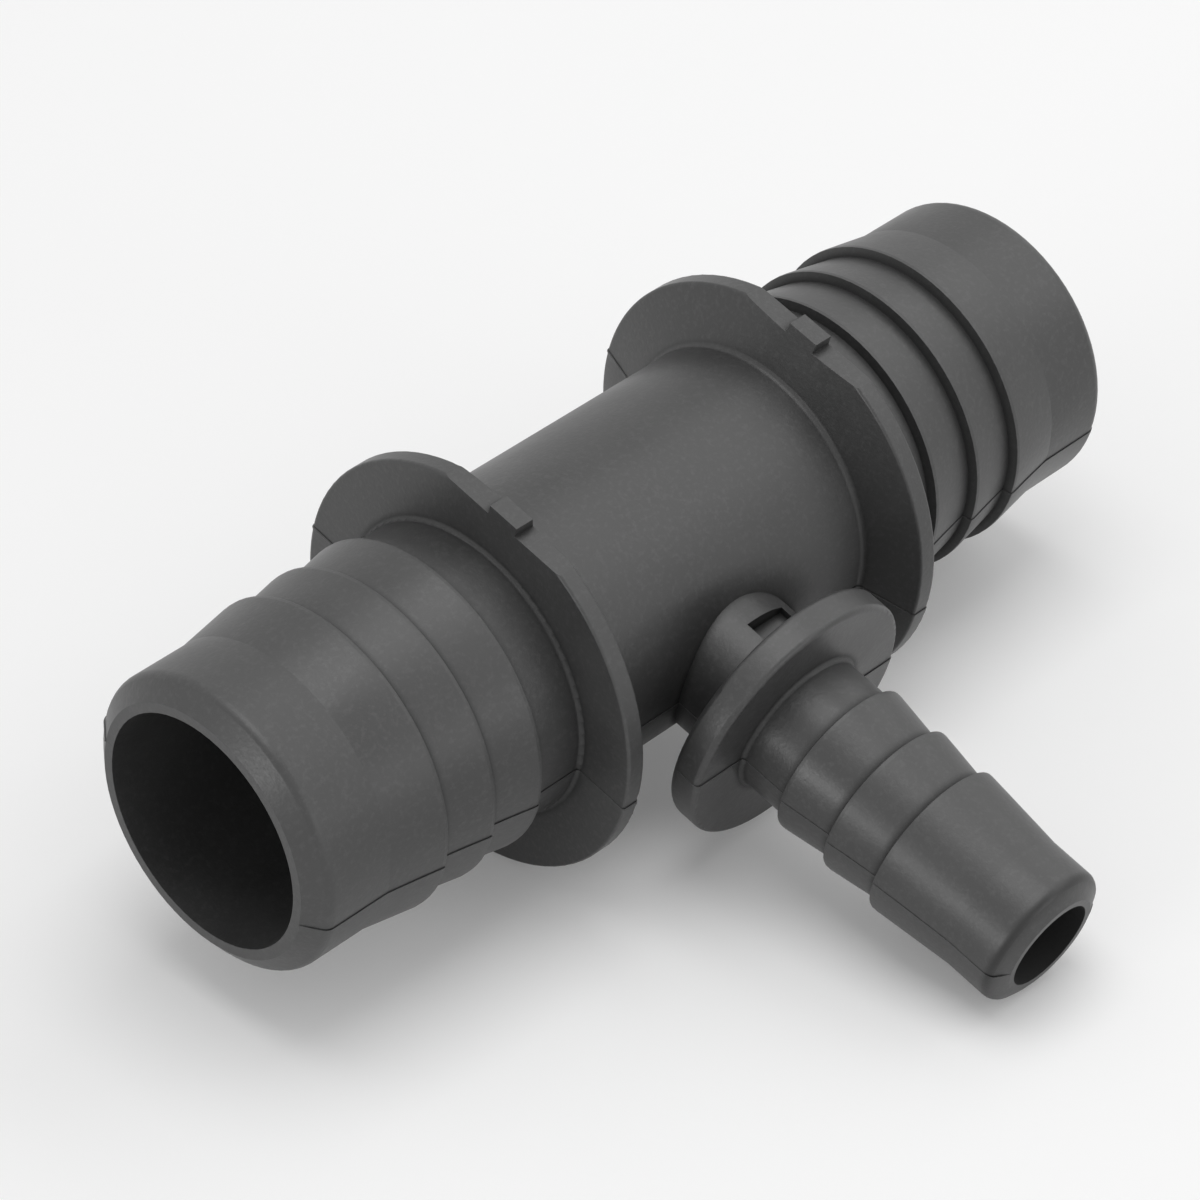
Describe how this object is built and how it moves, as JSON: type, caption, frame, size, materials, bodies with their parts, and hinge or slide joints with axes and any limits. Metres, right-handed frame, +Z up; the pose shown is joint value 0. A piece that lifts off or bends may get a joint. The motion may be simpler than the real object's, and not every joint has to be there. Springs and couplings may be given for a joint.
{
  "type": "hose tee connector",
  "caption": "One-piece moulded reducing tee for hoses: a straight run with a barbed spigot at each end, hose-stop flanges and a narrower barbed branch at right angles.",
  "frame": {"origin": "where the bores of the run and the branch cross, on the axis of the run", "axes": "+X along the run; the branch points to -Y and dips 14.9 degrees to the floor, as the tee rests on its two run flanges and the nose of the branch; +Z up"},
  "size_m": [0.0742, 0.0527, 0.0289],
  "materials": {
    "black_nylon": "moulded, matt to satin, filled with glass fibre"
  },
  "bodies": {
    "root": {"tee": "black_nylon"}
  },
  "joints": []
}
